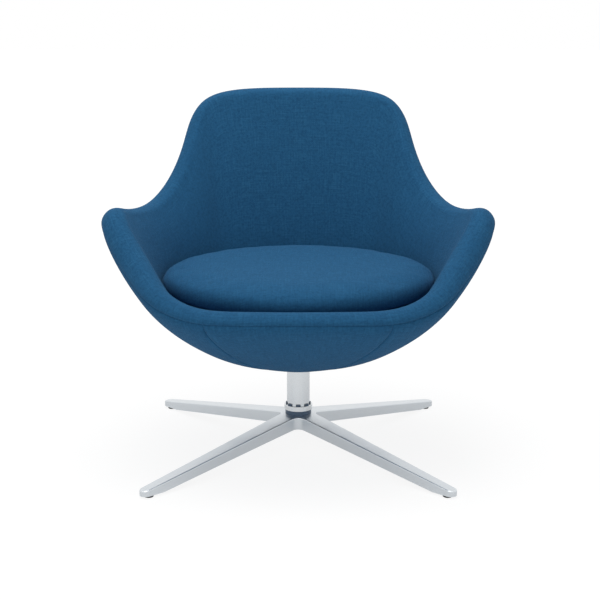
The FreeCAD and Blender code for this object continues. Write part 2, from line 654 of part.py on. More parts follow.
def inset_columns(columns, depth):
    """Sections moved under the face by a depth, mitred where a section bends."""
    count = len(columns)
    moved = []
    for i, column in enumerate(columns):
        last = len(column) - 1
        points = []
        for j, point in enumerate(column):
            along = columns[(i + 1) % count][j] - columns[i - 1][j]
            if j == 0:
                shift = Vector(0, 0, -1)
            elif j >= last - 1:
                shift = Vector(0, 0, 1)
            else:
                first = along.cross(point - column[j - 1]).normalize()
                second = along.cross(column[j + 1] - point).normalize()
                shift = (first + second).normalize()
                shift = shift * (1 / max(shift.dot(first), MITRE_LIMIT))
            points.append(point - shift * depth)
        moved.append(points)
    return moved


def shell_surface(depth, start):
    """Surface of the shell at a depth under its face, periodic, its parameter 0 at column start."""
    columns = inset_columns(shell_columns(), depth)
    first = start - 1
    columns = columns[first:] + columns[:first]
    turns = len(columns)
    rows = len(columns[0])
    spans = rows - 3
    surface = Part.BSplineSurface()
    surface.buildFromPolesMultsKnots(
        columns, [1] * (turns + 1), [4] + [1] * (spans - 1) + [4],
        list(range(turns + 1)), list(range(spans + 1)), True, False, 3, 3)
    return surface


def closed_solid(faces):
    """Solid bounded by faces that meet edge to edge."""
    shell = Part.makeShell(faces)
    shell.sewShape()
    solid = Part.makeSolid(shell)
    if solid.Volume < 0:
        solid.reverse()
    return solid


def cap(surface, row):
    """Flat face across the closed curve at a row of a shell surface."""
    return Part.Face(Part.Wire(surface.vIso(row).toShape()))


def strip(outer, inner, row):
    """Narrow ring face between two shell surfaces at a row."""
    return Part.makeRuledSurface(outer.vIso(row).toShape(), inner.vIso(row).toShape())


def tube_wall(outer, inner, bottom_row, top_row):
    """The two faces of a layer that runs all round, between two rows."""
    start, end = outer.bounds()[:2]
    return [surface.toShape(start, end, bottom_row, top_row) for surface in (outer, inner)]


def panel(start_column, first, last, bottom_row, top_row):
    """Fabric panel of the outside between two parameters round the shell."""
    outer = shell_surface(0.0, start_column)
    inner = shell_surface(FABRIC, start_column)
    faces = [surface.toShape(first, last, bottom_row, top_row) for surface in (outer, inner)]
    for row in (bottom_row, top_row):
        edges = [surface.vIso(row).toShape(first, last) for surface in (outer, inner)]
        faces.append(Part.makeRuledSurface(*edges))
    for column in (first, last):
        edges = [surface.uIso(column).toShape(bottom_row, top_row) for surface in (outer, inner)]
        faces.append(Part.makeRuledSurface(*edges))
    return closed_solid(faces)


def column_at(azimuth):
    """Parameter round the shell, from the front, at an azimuth in degrees."""
    angles = [math.degrees(math.atan2(x, -y)) for x, y, rise in RIM_STATIONS]
    index = max(i for i, angle in enumerate(angles) if angle <= azimuth)
    return index + (azimuth - angles[index]) / (angles[index + 1] - angles[index])


def outer_cover():
    """Outer fabric from the front panel's seams round the sides and the back."""
    seam = column_at(FRONT_PANEL_HALF_ANGLE) + SEAM_COLUMN_GAP / 2
    return panel(FRONT_COLUMN, seam, FRONT_COLUMN - seam, 0.0, SEAM_ROW - SEAM_ROW_GAP / 2)


def front_panel():
    """Outer fabric under the front lip, between its two seams."""
    seam = column_at(FRONT_PANEL_HALF_ANGLE) - SEAM_COLUMN_GAP / 2
    return panel(BACK_COLUMN, BACK_COLUMN - seam, BACK_COLUMN + seam, 0.0, SEAM_ROW - SEAM_ROW_GAP / 2)


def inner_cover():
    """Inner fabric over the rim's roll, the inside and the seat deck."""
    outer = shell_surface(0.0, BACK_COLUMN)
    inner = shell_surface(FABRIC, BACK_COLUMN)
    edge = SEAM_ROW + SEAM_ROW_GAP / 2
    faces = tube_wall(outer, inner, edge, DECK_ROW) + [strip(outer, inner, edge)]
    return closed_solid(faces + [cap(outer, DECK_ROW), cap(inner, DECK_ROW)])


def outer_pad():
    """Thin foam layer on the outside of the rigid shell."""
    outer = shell_surface(PAD_DEPTH, BACK_COLUMN)
    inner = shell_surface(PAD_DEPTH + OUTER_PAD, BACK_COLUMN)
    faces = tube_wall(outer, inner, 0.0, SHELL_TOP_ROW)
    return closed_solid(faces + [strip(outer, inner, 0.0), strip(outer, inner, SHELL_TOP_ROW)])


def rigid_shell():
    """Moulded structural bowl with a flat floor, bored for the socket and the bolts."""
    outer = shell_surface(WALL_DEPTH, BACK_COLUMN)
    inner = shell_surface(WALL_DEPTH + SHELL_WALL, BACK_COLUMN)
    faces = tube_wall(outer, inner, 0.0, SHELL_TOP_ROW) + [strip(outer, inner, SHELL_TOP_ROW)]
    bowl = closed_solid(faces + [cap(outer, 0.0), cap(inner, 0.0)])
    holes = bolt_holes(BOLT_DIAMETER / 2 + HOLE_CLEARANCE, WALL_FLOOR, BOARD_BOTTOM)
    holes.append(cylinder(SOCKET_DIAMETER / 2 + HOLE_CLEARANCE, WALL_FLOOR, BOARD_BOTTOM))
    return bowl.cut(holes)


def inner_foam():
    """Moulded foam of the seat, arms, back and rim, pocketed below for the board and the socket."""
    under = shell_surface(FOAM_DEPTH, BACK_COLUMN)
    face = shell_surface(PAD_DEPTH, BACK_COLUMN)
    edge = SHELL_TOP_ROW + SEAM_ROW_GAP
    start, end = under.bounds()[:2]
    faces = [under.toShape(start, end, 0.0, edge), face.toShape(start, end, edge, DECK_ROW)]
    foam = closed_solid(faces + [strip(under, face, edge), cap(under, 0.0), cap(face, DECK_ROW)])
    pocket_top = BOARD_TOP + TEE_NUT_FLANGE_THICKNESS + LAYER_GAP
    foam = foam.cut(cylinder(BOARD_DIAMETER / 2 + LAYER_GAP, BOARD_BOTTOM, pocket_top))
    return foam.cut(cylinder(SOCKET_DIAMETER / 2 + LAYER_GAP, BOARD_BOTTOM, TAPER_TOP + LAYER_GAP))


def oval(inset, height):
    """Outline of four arcs, wider than it is deep, drawn in by an inset."""
    middle = (CUSHION_REAR - CUSHION_FRONT) / 2
    half_depth = (CUSHION_REAR + CUSHION_FRONT) / 2
    side_centre = CUSHION_HALF_WIDTH - CUSHION_SIDE_RADIUS
    rest = half_depth - CUSHION_SIDE_RADIUS
    end_centre = (side_centre ** 2 - rest ** 2) / (2 * rest)
    side_radius = CUSHION_SIDE_RADIUS - inset
    end_radius = half_depth + end_centre - inset
    turn = math.atan2(end_centre, side_centre)
    join_x = side_centre + side_radius * math.cos(turn)
    join_y = side_radius * math.sin(turn)
    half_width = side_centre + side_radius
    half_length = end_radius - end_centre
    tips = [(half_width, 0), (0, half_length), (-half_width, 0), (0, -half_length)]
    joins = [(join_x, -join_y), (join_x, join_y), (-join_x, join_y), (-join_x, -join_y)]
    places = [[Vector(x, y + middle, height) for x, y in row] for row in (joins, tips)]
    arcs = []
    for index in range(4):
        arc = Part.Arc(places[0][index], places[1][index], places[0][(index + 1) % 4])
        arcs.append(arc.toShape())
    return Part.Wire(arcs)


def cushion_outlines(depth, foot):
    """Outlines of a crowned oval with drawn-in sides, a depth under the cushion's face, from foot up."""
    top = CUSHION_BOTTOM + CUSHION_THICKNESS - depth
    return [oval(inset + depth, foot + (top - foot) * share) for share, inset in CUSHION_LEVELS]


def cushion_core():
    outlines = cushion_outlines(FABRIC + LAYER_GAP, CUSHION_BOTTOM + FABRIC + LAYER_GAP)
    return Part.makeLoft(outlines, True, True)


def cushion_cover():
    """Fabric over the cushion's crown and sides, open below."""
    outside = cushion_outlines(0.0, CUSHION_BOTTOM)
    inside = cushion_outlines(FABRIC, CUSHION_BOTTOM)
    inside.insert(0, oval(CUSHION_LEVELS[0][1] + FABRIC, CUSHION_BOTTOM - FABRIC))
    return Part.makeLoft(outside, True, True).cut(Part.makeLoft(inside, True, True))


def cushion_base():
    """Flat fabric panel that closes the cushion from below, inside the cover's edge."""
    outline = oval(CUSHION_LEVELS[0][1] + FABRIC + LAYER_GAP, CUSHION_BOTTOM)
    return Part.Face(outline).extrude(Vector(0, 0, FABRIC))


def strips(bottom):
    """Pair of hook-and-loop strips across the seat."""
    middle = (CUSHION_REAR - CUSHION_FRONT) / 2
    pair = []
    for side in (-1, 1):
        y = middle + side * STRIP_SPACING / 2 - STRIP_WIDTH / 2
        corner = Vector(-STRIP_LENGTH / 2, y, bottom)
        pair.append(Part.makeBox(STRIP_LENGTH, STRIP_WIDTH, STRIP_THICKNESS, corner))
    return Part.makeCompound(pair)


def deck_strips():
    return strips(DECK_HEIGHT)


def cushion_strips():
    return strips(CUSHION_BOTTOM - STRIP_THICKNESS)


PIECES = [
    star_base, glide_studs, base_collar, collar_insert, column_tube, foot_plug, hub_bolt, hub_washer,
    lower_race, thrust_balls, ball_cage, lower_bush, upper_bush,
    spindle, upper_race, retaining_washer, retaining_clip, taper_socket, seat_plate, plate_bolts,
    plate_washers, tee_nuts, mount_board, cover_dish, dish_screws,
    rigid_shell, outer_pad, inner_foam, outer_cover, front_panel, inner_cover, deck_strips,
    cushion_core, cushion_cover, cushion_base, cushion_strips,
]
GLIDE_NAMES = ["glide_rear_right", "glide_rear_left", "glide_front_left", "glide_front_right"]


def main():
    os.makedirs("parts", exist_ok=True)
    shapes = {piece.__name__: piece() for piece in PIECES}
    for name, angle in zip(GLIDE_NAMES, leg_angles()):
        shapes[name] = glide(angle)
    for name, shape in shapes.items():
        shape.exportStep("parts/" + name + ".step")
        volumes = [round(solid.Volume / 1000, 2) for solid in shape.Solids]
        print(name, "solids", len(volumes), "valid", shape.isValid(), "cm3", volumes[:2])


main()
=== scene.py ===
"""Looks of a swivel lounge chair: fabric shell, loose seat cushion, satin column and star base."""

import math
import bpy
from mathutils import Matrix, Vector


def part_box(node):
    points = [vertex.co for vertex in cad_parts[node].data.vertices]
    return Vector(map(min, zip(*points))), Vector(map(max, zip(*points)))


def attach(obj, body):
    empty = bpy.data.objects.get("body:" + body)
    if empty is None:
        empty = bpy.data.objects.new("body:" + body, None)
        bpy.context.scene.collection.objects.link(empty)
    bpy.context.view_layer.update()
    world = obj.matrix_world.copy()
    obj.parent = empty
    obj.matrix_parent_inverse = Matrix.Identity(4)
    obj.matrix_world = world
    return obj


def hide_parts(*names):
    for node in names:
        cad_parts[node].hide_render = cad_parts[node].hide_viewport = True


bl_info = {
    "name": "Swivel Lounge Chair",
    "version": (1, 0, 0),
    "blender": (4, 5, 0),
    "location": "3D View > Sidebar > Chair",
    "description": "Builds the upholstery, finishes and studio of a swivel lounge chair",
    "category": "Object",
}

import bpy
import numpy as np

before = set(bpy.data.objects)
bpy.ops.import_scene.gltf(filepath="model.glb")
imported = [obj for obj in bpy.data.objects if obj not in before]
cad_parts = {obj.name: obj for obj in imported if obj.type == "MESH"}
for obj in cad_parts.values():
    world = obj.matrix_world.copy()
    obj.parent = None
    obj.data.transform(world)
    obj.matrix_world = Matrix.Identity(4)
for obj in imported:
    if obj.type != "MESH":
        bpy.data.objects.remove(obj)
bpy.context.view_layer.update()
MM = 0.001

# Centre line of the rim's roll, one half from front to back: x, y, height over the deck, in millimetres
RIM_STATIONS = (
    (0, -321, 1), (110, -312, 0), (205, -288, -4), (282, -243, 23), (311, -195, 56),
    (342, -145, 90), (377, -100, 138), (391, -68, 170), (377, -20, 154), (354, 50, 142),
    (325, 120, 142), (294, 185, 165), (263, 232, 212), (240, 267, 273), (228, 298, 330),
    (205, 315, 364), (160, 322, 377), (86, 325, 382), (0, 326, 382),
)
# Section values of the shell as (front, side, back), in millimetres and degrees
ROLL_RADIUS = (25.0, 26.0, 23.0)
SHOULDER_SWELL = 5.0
ROLL_LEAN = (2.5, 22.0, 14.0)
OUTER_LEAN = (0.0, 0.0, 14.0)
INNER_LEAN = (5.0, 46.0, 14.0)
FLOOR_REACH = (155.0, 231.0, 270.0)
FLOOR_RISE = (6.0, 0.0, 0.0)
OUTER_HANDLE = (30.0, 48.0, 300.0)
INNER_HANDLE = (1.0, 45.0, 150.0)
DECK_CORNER_RISE = (1.0, 15.0, 80.0)
OUTER_STEPS = (0.0, 0.22, 0.45, 0.68, 0.88)
INNER_STEPS = (0.2, 0.5, 0.8)
ROLL_SIDE = 0.6
ROLL_CREST = 1.25
FLOOR_HEIGHT = 201.0
FLOOR_RADIUS = 90.0
DECK_HEIGHT = FLOOR_HEIGHT + 161.0
DECK_HALF_WIDTH = 293.0
DECK_FRONT = 290.0
DECK_REAR = 222.0
DECK_CENTRE = -46.0
DECK_SQUARENESS = 2.3
DECK_FLAT_STEP = 25.0
FRONT_PANEL_HALF_ANGLE = 31.5
SEAM_ROW = 4.3
DECK_ROW = 13.0

# Seat cushion in millimetres; each level is a share of its height and the inset of its outline there
CUSHION_HALF_WIDTH = 291.0
CUSHION_FRONT = 287.0
CUSHION_REAR = 213.0
CUSHION_SIDE_RADIUS = 190.0
CUSHION_LEVELS = (
    (0.0, 20.0), (0.08, 11.0), (0.2, 3.5), (0.36, 0.0), (0.52, 1.5), (0.66, 6.0),
    (0.78, 14.0), (0.87, 26.0), (0.93, 44.0), (0.97, 70.0), (0.99, 100.0), (1.0, 140.0),
)
CUSHION_BASE_INSETS = (150.0, 60.0)

# Steps of the grids over the fabric and the cushion
OUTER_ROWS = 62
OUTER_COLUMNS = 440
FRONT_COLUMNS = 150
INNER_ROWS = 72
INNER_COLUMNS_PER_STATION = 12
DECK_RINGS = (0.25, 0.5, 0.75)
CUSHION_COLUMNS = 240

# Filling of the cushion: frames, solver steps, pressure, passes of smoothing, held height in millimetres
FILL_FRAMES = 20
FILL_QUALITY = 6
FILL_PRESSURE = 2.0
FILL_SMOOTHING = 2
HELD_HEIGHT = 4.0

# Edges of the hard parts that turn by more than this many degrees stay sharp
SHARP_TURN = 30.0

# Camera matched to the photograph: place and reach in metres, tilt in degrees, lens in millimetres
CAMERA_PLACE = (0.0037, -3.313, 1.119)
CAMERA_TILT = 13.245
CAMERA_LENS = 93.9
CAMERA_SENSOR = 36.0
CAMERA_REACH = 100.0

# Lamps as place, aim and size in metres, and power in watts
TOP_LAMP = ((-0.2, -0.1, 2.8), (0.0, 0.0, 0.45), 2.2, 42.0)
FRONT_LAMP = ((-0.6, -2.0, 2.2), (0.0, 0.3, 0.65), 1.8, 10.0)

# Floor in metres and shares: its own white grows from the near to the far distance round the chair
FLOOR_HALF_WIDTH = 12.0
SHADOW_NEAR = 0.35
SHADOW_FAR = 1.2
NEAR_WHITE = 0.82
FLOOR_BRIGHTNESS = 1.06

# Shares of white that the floor shows in gloss, and that the floor and the room give as light
FLOOR_IN_GLOSS = 0.4
FLOOR_AS_LIGHT = 0.22
ROOM_AS_LIGHT = 0.44


def linear(code):
    """Linear colour with alpha from an sRGB hex code such as "24507a"."""
    srgb = [int(code[k:k + 2], 16) / 255 for k in (0, 2, 4)]
    return [c / 12.92 if c <= 0.04045 else ((c + 0.055) / 1.055) ** 2.4 for c in srgb] + [1.0]


def colour(label, description, code):
    """Colour setting that starts at an sRGB hex code."""
    return bpy.props.FloatVectorProperty(
        name=label, description=description, subtype="COLOR", size=4, min=0.0, max=1.0,
        default=linear(code))


def length(label, description, default):
    """Length setting in metres."""
    return bpy.props.FloatProperty(
        name=label, description=description, default=default, unit="LENGTH", precision=4)


class ChairSizes(bpy.types.PropertyGroup):
    """Sizes of the fabric, its seams and the cushion's filling"""

    seam_depth: length("Seam depth", "How far the fabric is drawn in along a seam", 2.8 * MM)
    seam_width: length("Seam width", "How wide the fabric rounds over beside a seam", 2.6 * MM)
    fabric_thickness: length("Fabric thickness", "Thickness of the woven cover", 1.6 * MM)
    yarn_pitch: length("Yarn pitch", "Spacing of the drawn yarns", 2.4 * MM)
    cushion_start: length("Cushion start", "How much smaller the cushion is before it is filled", 2.0 * MM)
    cushion_cap: length("Cushion cap", "The furthest that filling moves a point of the cushion", 3.0 * MM)
    cushion_voxel: length("Cushion voxel", "Cell size of the cushion's mesh while it is filled", 6.0 * MM)


class ChairColours(bpy.types.PropertyGroup):
    """Colours of the yarns, the metals and the dark plastic"""

    wool: colour("Wool", "Main yarn of the melange cover", "235981")
    wool_dark: colour("Dark yarn", "Darker fibres in the cover", "184568")
    wool_light: colour("Light yarn", "Lighter fibres in the cover", "306b92")
    aluminium: colour("Aluminium", "Polished casting of the star base", "d8dde1")
    tube: colour("Tube", "Satin column", "dbdfe2")
    plastic: colour("Dark plastic", "Glides and underside dish", "1b1c1e")


def unit(vectors):
    """Vectors divided by their lengths."""
    return vectors / np.linalg.norm(vectors, axis=-1, keepdims=True)


def eased(values, azimuth):
    """Front or back value times cos squared of the azimuth, plus the side value times sin squared."""
    front, side, back = values
    share = np.cos(azimuth) ** 2
    return np.where(np.cos(azimuth) > 0, front, back) * share + side * (1 - share)


def downwards(lean, outward):
    """Unit vectors down a wall that leans in by an angle: minus z times cos less outward times sin."""
    angle = np.radians(lean)[:, None]
    return np.array([0, 0, -1.0]) * np.cos(angle) - outward * np.sin(angle)


def deck_ring(azimuth, inset):
    """Superellipse round the deck's centre, its radius lessened by an inset."""
    across = np.sin(azimuth)
    ahead = np.cos(azimuth)
    depth = np.where(ahead > 0, DECK_FRONT + DECK_CENTRE, DECK_REAR - DECK_CENTRE)
    power = DECK_SQUARENESS
    powers = np.abs(across / DECK_HALF_WIDTH) ** power + np.abs(ahead / depth) ** power
    radius = powers ** (-1 / power) - inset
    height = np.full_like(radius, DECK_HEIGHT)
    return np.stack([radius * across, DECK_CENTRE - radius * ahead, height], axis=1)


def bezier(corners, t):
    """Points of cubic curves at t, the corners weighted by the Bernstein terms."""
    s = 1 - t
    return (
        corners[0] * s ** 3 + corners[1] * 3 * s * s * t
        + corners[2] * 3 * s * t * t + corners[3] * t ** 3)


def shell_poles():
    """Poles of the shell by column, row and axis: floor, outer wall, roll, inner wall and deck."""
    half = np.array(RIM_STATIONS, float) + (0, 0, DECK_HEIGHT)
    rim = np.vstack([half, half[-2:0:-1] * (-1, 1, 1)])
    azimuth = np.arctan2(rim[:, 0], -rim[:, 1])
    outward = np.stack([np.sin(azimuth), -np.cos(azimuth), np.zeros_like(azimuth)], axis=1)
    up = np.array([0, 0, 1.0])
    along = unit(np.roll(rim, -1, axis=0) - np.roll(rim, 1, axis=0))
    down_outside = downwards(eased(OUTER_LEAN, azimuth), outward)
    down_inside = downwards(eased(INNER_LEAN, azimuth), outward)
    side = unit(np.cross(along, -downwards(eased(ROLL_LEAN, azimuth), outward)))
    crest = unit(np.cross(side, along))
    shoulder = np.clip(np.abs(azimuth), math.pi / 4, math.pi / 2)
    swell = SHOULDER_SWELL * np.sin(4 * shoulder) ** 2
    radius = (eased(ROLL_RADIUS, azimuth) + swell)[:, None]
    outer_end = rim + side * radius
    inner_end = rim - side * radius
    floor = outward * FLOOR_RADIUS + up * FLOOR_HEIGHT
    bilge = outward * eased(FLOOR_REACH, azimuth)[:, None]
    bilge = bilge + up * (FLOOR_HEIGHT + eased(FLOOR_RISE, azimuth))[:, None]
    outer = (floor, bilge, outer_end + down_outside * eased(OUTER_HANDLE, azimuth)[:, None], outer_end)
    corner = deck_ring(azimuth, 0.0)
    rise = corner + up * eased(DECK_CORNER_RISE, azimuth)[:, None]
    inner = (inner_end, inner_end + down_inside * eased(INNER_HANDLE, azimuth)[:, None], rise, corner)
    rows = [bezier(outer, t) for t in OUTER_STEPS]
    rows += [outer_end, outer_end + crest * radius * ROLL_SIDE, rim + crest * radius * ROLL_CREST]
    rows += [inner_end + crest * radius * ROLL_SIDE, inner_end]
    rows += [bezier(inner, t) for t in INNER_STEPS]
    rows += [corner, deck_ring(azimuth, DECK_FLAT_STEP), deck_ring(azimuth, 2 * DECK_FLAT_STEP)]
    return np.stack(rows, axis=1) * MM


def round_weights(u, count):
    """Weights of a closed uniform cubic B-spline: four neighbours of each u, by the basis polynomials."""
    index = np.floor(u).astype(int)
    f = u - index
    terms = ((1 - f) ** 3, 3 * f ** 3 - 6 * f ** 2 + 4, -3 * f ** 3 + 3 * f ** 2 + 3 * f + 1, f ** 3)
    weights = np.zeros((len(u), count))
    for step, term in enumerate(terms):
        np.add.at(weights, (np.arange(len(u)), (index + step - 1) % count), term / 6)
    return weights


def open_weights(v, count):
    """Weights of a clamped uniform cubic B-spline, by the knot recursion over degrees one to three."""
    knots = np.concatenate([np.zeros(3), np.arange(count - 2.0), np.full(3, count - 3.0)])
    v = np.clip(v, 0, count - 3 - 1e-9)[:, None]
    weights = ((knots[:-1] <= v) & (v < knots[1:])).astype(float)
    for degree in (1, 2, 3):
        span = knots[degree:] - knots[:-degree]
        rising = np.where(span > 0, (v - knots[:-degree]) / np.where(span > 0, span, 1), 0.0)
        falling = np.where(span > 0, 1 - rising, 0.0)
        weights = rising[:, :-1] * weights[:, :-1] + falling[:, 1:] * weights[:, 1:]
    return weights


def shell_points(u, v):
    """Shell surface on the grid of columns u and rows v: sum of poles times both weights."""
    poles = shell_poles()
    across = round_weights(u, poles.shape[0])
    upward = open_weights(v, poles.shape[1])
    return np.einsum("ui,vj,ijk->uvk", across, upward, poles, optimize=True)


def seam_column():
    """Parameter round the shell at the front panel's seam, between the stations beside its azimuth."""
    stations = np.array(RIM_STATIONS, float)
    azimuth = np.degrees(np.arctan2(stations[:, 0], -stations[:, 1]))
    return float(np.interp(FRONT_PANEL_HALF_ANGLE, azimuth, np.arange(len(azimuth))))


def seamed_points(u, v, sizes):
    """Shell surface drawn in along its seams, by the depth times exp(-distance / width)."""
    nudge = 0.01
    points = shell_points(u, v)
    along = (shell_points(u + nudge, v) - shell_points(u - nudge, v)) / (2 * nudge)
    low = np.clip(v - nudge, 0, DECK_ROW)
    high = np.clip(v + nudge, 0, DECK_ROW)
    upward = (shell_points(u, high) - shell_points(u, low)) / (high - low)[None, :, None]
    normal = unit(np.cross(along, upward))
    to_rim_seam = np.abs(v - SEAM_ROW)[None, :] * np.linalg.norm(upward, axis=-1)
    turns = len(shell_poles())
    home = np.abs((u + turns / 2) % turns - turns / 2)
    to_panel_seam = np.abs(home - seam_column())[:, None] * np.linalg.norm(along, axis=-1)
    to_panel_seam = np.where(v[None, :] <= SEAM_ROW, to_panel_seam, np.inf)
    nearest = np.minimum(to_rim_seam, to_panel_seam)
    drawn_in = sizes.seam_depth * np.exp(-nearest / sizes.seam_width)
    return points - normal * drawn_in[..., None]


def cloth_lengths(points):
    """Flat lengths along the weave: along the middle row for one axis, up each column for the other."""
    middle = points[:, points.shape[1] // 2]
    across = np.concatenate([[0], np.cumsum(np.linalg.norm(np.diff(middle, axis=0), axis=1))])
    upward = np.cumsum(np.linalg.norm(np.diff(points, axis=1), axis=2), axis=1)
    upward = np.concatenate([np.zeros((len(points), 1)), upward], axis=1)
    return np.stack([np.broadcast_to(across[:, None], upward.shape), upward], axis=-1)


def grid_mesh(name, points, closed=False, centre=None):
    """Quads over a grid of points, joined round if closed, with a fan to any centre and a cloth UV map."""
    columns, rows = points.shape[:2]
    wrapped = np.concatenate([points, points[:1]]) if closed else points
    lengths = cloth_lengths(wrapped)
    i, j = np.meshgrid(np.arange(len(wrapped) - 1), np.arange(rows - 1), indexing="ij")
    corner_i = np.stack([i, i + 1, i + 1, i], axis=-1).reshape(-1, 4)
    corner_j = np.stack([j, j, j + 1, j + 1], axis=-1).reshape(-1, 4)
    faces = ((corner_i % columns) * rows + corner_j).tolist()
    corners_uv = lengths[corner_i, corner_j].reshape(-1, 2)
    vertices = points.reshape(-1, 3)
    if centre is not None:
        ring = np.arange(columns)
        hub = np.full(columns, len(vertices))
        fan = np.stack([ring * rows + rows - 1, (ring + 1) % columns * rows + rows - 1, hub], axis=1)
        vertices = np.vstack([vertices, centre])
        faces += fan.tolist()
        corners_uv = np.vstack([corners_uv, vertices[fan.reshape(-1)][:, :2]])
    mesh = bpy.data.meshes.new(name)
    mesh.from_pydata(vertices.tolist(), [], faces)
    mesh.uv_layers.new(name="cloth").data.foreach_set("uv", corners_uv.astype(np.float32).reshape(-1))
    mesh.polygons.foreach_set("use_smooth", np.ones(len(mesh.polygons), dtype=bool))
    mesh.update()
    return mesh


def new_piece(name, mesh, body, slot, material, *nodes):
    """Object at the origin that rides on a body, takes the given finish and stands for CAD nodes; the slot
    argument is not used.
    """
    piece = bpy.data.objects.new(name, mesh)
    bpy.context.scene.collection.objects.link(piece)
    mesh.materials.clear()
    mesh.materials.append(material)
    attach(piece, body)
    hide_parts(*nodes)
    return piece


def thicken(piece, thickness):
    """Gives a cover its cloth thickness, inwards from its face."""
    wall = piece.modifiers.new("cloth_thickness", "SOLIDIFY")
    wall.thickness = thickness
    wall.offset = -1.0


def add_node(tree, kind, inputs=None, **settings):
    """Adds a node with its settings; each input takes a value or a link from another node's socket."""
    node = tree.nodes.new(kind)
    for name, value in settings.items():
        setattr(node, name, value)
    for key, value in (inputs or {}).items():
        if isinstance(value, bpy.types.NodeSocket):
            tree.links.new(value, node.inputs[key])
        else:
            node.inputs[key].default_value = value
    return node


def start_material(name):
    """Material, node tree and Principled shader; the material alone where it was made before."""
    material = bpy.data.materials.get(name)
    if material:
        return material, None, None
    material = bpy.data.materials.new(name)
    material.use_nodes = True
    tree = material.node_tree
    tree.nodes.clear()
    shader = add_node(tree, "ShaderNodeBsdfPrincipled")
    add_node(tree, "ShaderNodeOutputMaterial", {"Surface": shader.outputs[0]})
    return material, tree, shader


def wave_scale(pitch):
    """Scale at which a wave texture's bands repeat at a pitch, as it runs through 20 radians per unit."""
    return 2 * math.pi / (20 * pitch)


def wool_shade(tree, uv, fibres):
    """Colour of the melange: darker fibres in patches and lighter slubs along both yarns."""
    colours = bpy.context.scene.chair_colours
    slub_width = 3 * MM
    slub_stretch = 0.06
    along_warp = add_node(tree, "ShaderNodeMapping", {"Vector": uv, "Scale": (1.0, slub_stretch, 1.0)})
    along_weft = add_node(tree, "ShaderNodeMapping", {"Vector": uv, "Scale": (slub_stretch, 1.0, 1.0)})
    slubs = [
        add_node(
            tree, "ShaderNodeTexNoise",
            {"Vector": way.outputs[0], "Scale": 1 / slub_width, "Detail": 2.0})
        for way in (along_warp, along_weft)
    ]
    slub = add_node(
        tree, "ShaderNodeMath", {0: slubs[0].outputs[0], 1: slubs[1].outputs[0]}, operation="ADD")
    dark_share = add_node(
        tree, "ShaderNodeMapRange",
        {"Value": fibres, "From Min": 0.42, "From Max": 0.66, "To Max": 0.65})
    light_share = add_node(
        tree, "ShaderNodeMapRange",
        {"Value": slub.outputs[0], "From Min": 1.0, "From Max": 1.3, "To Max": 0.45})
    darker = add_node(
        tree, "ShaderNodeMix", {0: dark_share.outputs[0], 6: colours.wool, 7: colours.wool_dark},
        data_type="RGBA")
    mixed = add_node(
        tree, "ShaderNodeMix", {0: light_share.outputs[0], 6: darker.outputs[2], 7: colours.wool_light},
        data_type="RGBA")
    return mixed.outputs[2]


def weave_height(tree, uv, fibres):
    """Height of a plain weave, warp and weft on top by turns, roughened by its fibres."""
    pitch = bpy.context.scene.chair_sizes.yarn_pitch
    scale = wave_scale(pitch)
    warp = add_node(tree, "ShaderNodeTexWave", {"Vector": uv, "Scale": scale}, bands_direction="X")
    weft = add_node(tree, "ShaderNodeTexWave", {"Vector": uv, "Scale": scale}, bands_direction="Y")
    over = add_node(tree, "ShaderNodeTexChecker", {"Vector": uv, "Scale": 1 / pitch})
    weave = add_node(tree, "ShaderNodeMix", {0: over.outputs[1], 2: warp.outputs[1], 3: weft.outputs[1]})
    height = add_node(
        tree, "ShaderNodeMath", {0: fibres, 1: 0.8, 2: weave.outputs[0]}, operation="MULTIPLY_ADD")
    return height.outputs[0]


def woven_wool():
    """Woven wool melange, plain weave, mottled by mixed fibres, with a soft nap that lightens its edges.

    The real yarns lie about 1.2 mm apart; they are drawn at twice that so that they show."""
    material, tree, shader = start_material("woven_wool_melange")
    if tree is None:
        return material
    uv = add_node(tree, "ShaderNodeUVMap", uv_map="cloth").outputs[0]
    place = add_node(tree, "ShaderNodeTexCoord").outputs["Object"]
    fibre_patch = 5 * MM
    fibres = add_node(
        tree, "ShaderNodeTexNoise",
        {"Vector": place, "Scale": 1 / fibre_patch, "Detail": 4.0, "Roughness": 0.7}).outputs[0]
    shade = wool_shade(tree, uv, fibres)
    height = weave_height(tree, uv, fibres)
    bump = add_node(tree, "ShaderNodeBump", {"Height": height, "Strength": 0.5, "Distance": 0.5 * MM})
    tree.links.new(shade, shader.inputs["Base Color"])
    tree.links.new(bump.outputs[0], shader.inputs["Normal"])
    shader.inputs["Roughness"].default_value = 0.95
    shader.inputs["Specular IOR Level"].default_value = 0.15
    shader.inputs["Sheen Weight"].default_value = 0.12
    shader.inputs["Sheen Roughness"].default_value = 0.45
    shader.inputs["Sheen Tint"].default_value = linear("7fa3c0")
    return material


def metal(name, colour_value, roughness, grain, stretch):
    """Metal whose roughness and face vary with a stretched noise, as polishing or grinding leaves it."""
    material, tree, shader = start_material(name)
    if tree is None:
        return material
    place = add_node(tree, "ShaderNodeTexCoord").outputs["Object"]
    stretched = add_node(tree, "ShaderNodeMapping", {"Vector": place, "Scale": stretch})
    lines = add_node(
        tree, "ShaderNodeTexNoise", {"Vector": stretched.outputs[0], "Scale": 1 / grain, "Detail": 3.0})
    rough = add_node(
        tree, "ShaderNodeMapRange",
        {"Value": lines.outputs[0], "To Min": roughness * 0.85, "To Max": roughness * 1.2})
    bump = add_node(
        tree, "ShaderNodeBump", {"Height": lines.outputs[0], "Strength": 0.02, "Distance": 0.05 * MM})
    tree.links.new(rough.outputs[0], shader.inputs["Roughness"])
    tree.links.new(bump.outputs[0], shader.inputs["Normal"])
    shader.inputs["Base Color"].default_value = colour_value
    shader.inputs["Metallic"].default_value = 1.0
    return material


